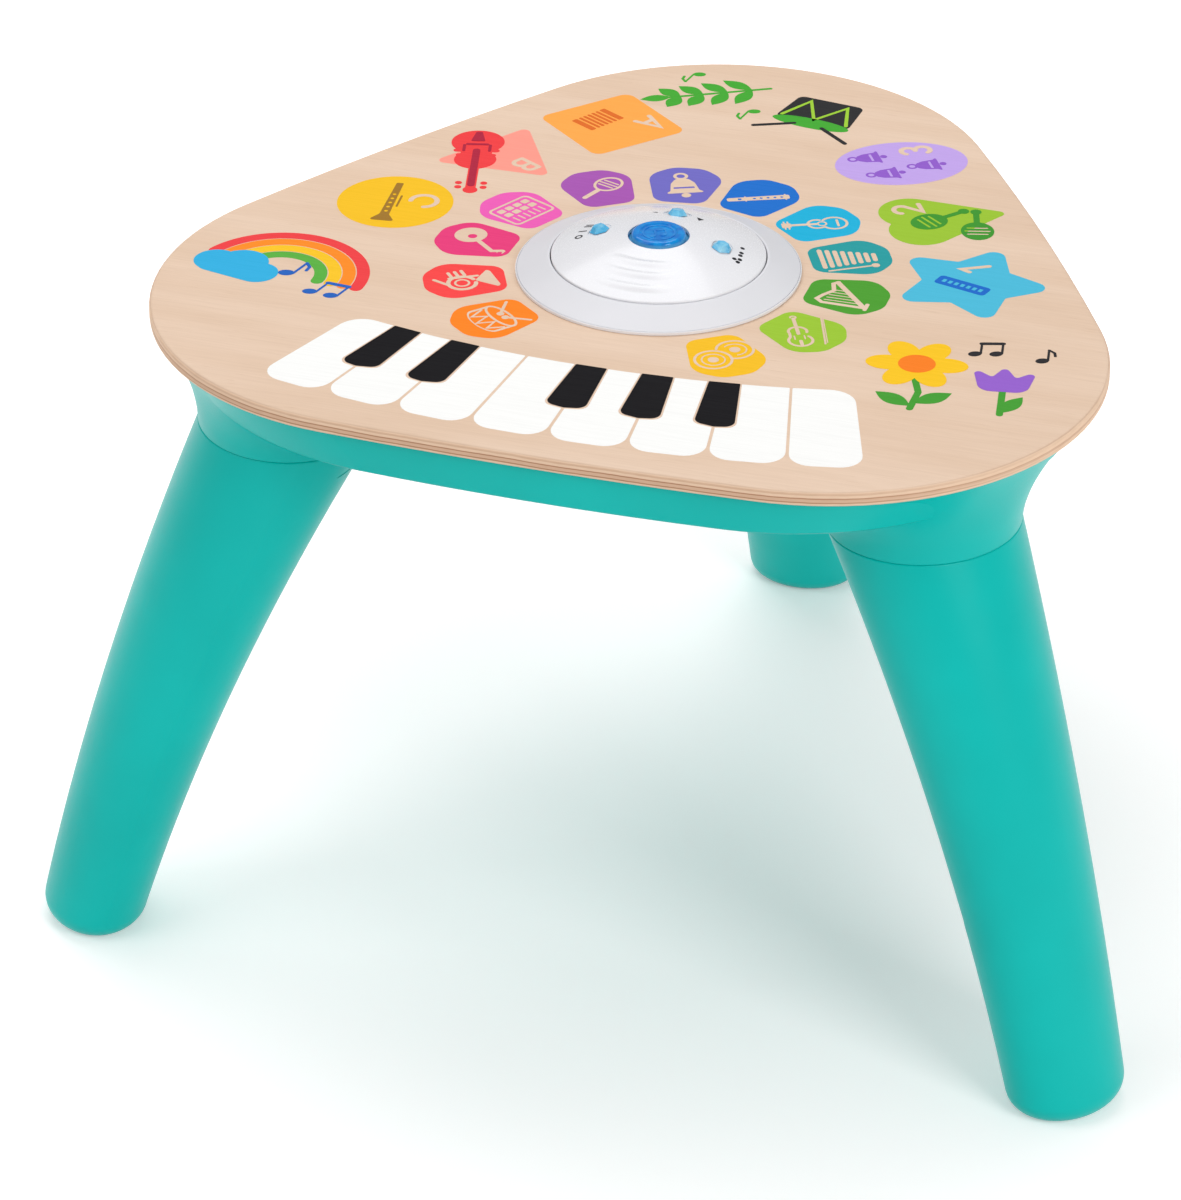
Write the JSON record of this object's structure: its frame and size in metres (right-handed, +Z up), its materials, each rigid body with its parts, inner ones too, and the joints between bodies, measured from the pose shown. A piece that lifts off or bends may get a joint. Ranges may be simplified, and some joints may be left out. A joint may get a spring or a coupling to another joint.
{
  "type": "activity table",
  "caption": "Low rounded-triangle toddler music table: printed touch-sensing plywood top with a central sound hub, on a moulded frame with plug-in splayed legs.",
  "frame": {"origin": "on the floor under the middle of the table's bounding box", "axes": "+Z up, +X along the keyboard to the right, the keyboard side faces -Y"},
  "size_m": [0.6108, 0.5587, 0.3874],
  "materials": {
    "plywood": "clear-sealed birch plywood",
    "teal": "satin moulded plastic",
    "white": "smooth moulded plastic",
    "light_grey": "frosted diffuser",
    "blue_clear": "tinted clear plastic",
    "pale_blue": "tinted clear plastic",
    "film": "printed sensor film",
    "board": "solder mask",
    "led": "clear lens",
    "black": "moulded",
    "rubber": "silicone",
    "steel": "plated",
    "paper": "pressed paper",
    "iron": "dull",
    "cell": "plain sleeve",
    "lead": "soft insulation"
  },
  "bodies": {
    "table": {"wood_top": "plywood", "touch_film": "film", "film_tail": "film", "under_frame": "teal", "hub_rim": "white", "hub_dome": "white", "hub_plate": "white", "hub_ring": "light_grey", "main_board": "board", "board_leds": "led", "sound_chip": "black", "switch_cases": "black", "button_pad": "rubber", "speaker_basket": "steel", "speaker_cone": "paper", "speaker_magnet": "iron", "battery_box": "black", "battery_cells": "cell", "battery_contacts": "steel", "frame_screws": "steel", "hub_screws": "steel", "board_screws": "steel", "speaker_screws": "steel", "speaker_leads": "lead", "battery_leads": "lead"},
    "play_button": {"play_button": "blue_clear"},
    "left_slider": {"left_slider": "pale_blue"},
    "rear_slider": {"rear_slider": "pale_blue"},
    "right_slider": {"right_slider": "pale_blue"},
    "battery_cover": {"battery_door": "teal", "door_screw": "steel"},
    "leg_front_left": {"leg_front_left": "teal"},
    "leg_front_right": {"leg_front_right": "teal"},
    "leg_rear": {"leg_rear": "teal"}
  },
  "joints": [
    {"name": "button_press", "type": "slide", "parent": "table", "child": "play_button", "axis": [0, 0, -1], "range_m": [0, 0.002], "stiffness_N_per_m": 600, "springref_m": -0.001, "deforming": ["button_pad"]},
    {"name": "right_slide", "type": "slide", "parent": "table", "child": "right_slider", "axis": [-0.0872, 0.9962, 0], "range_m": [-0.002, 0.002]},
    {"name": "rear_slide", "type": "slide", "parent": "table", "child": "rear_slider", "axis": [-1, 0, 0], "range_m": [-0.002, 0.002]},
    {"name": "left_slide", "type": "slide", "parent": "table", "child": "left_slider", "axis": [-0.0872, -0.9962, 0], "range_m": [-0.002, 0.002]},
    {"name": "battery_cover_off", "type": "slide", "parent": "table", "child": "battery_cover", "axis": [0, 0, -1], "range_m": [0, 0.025]},
    {"name": "leg_front_left_pull", "type": "slide", "parent": "table", "child": "leg_front_left", "axis": [0, 0, -1], "range_m": [0, 0.06]},
    {"name": "leg_front_right_pull", "type": "slide", "parent": "table", "child": "leg_front_right", "axis": [0, 0, -1], "range_m": [0, 0.06]},
    {"name": "leg_rear_pull", "type": "slide", "parent": "table", "child": "leg_rear", "axis": [0, 0, -1], "range_m": [0, 0.06]}
  ]
}
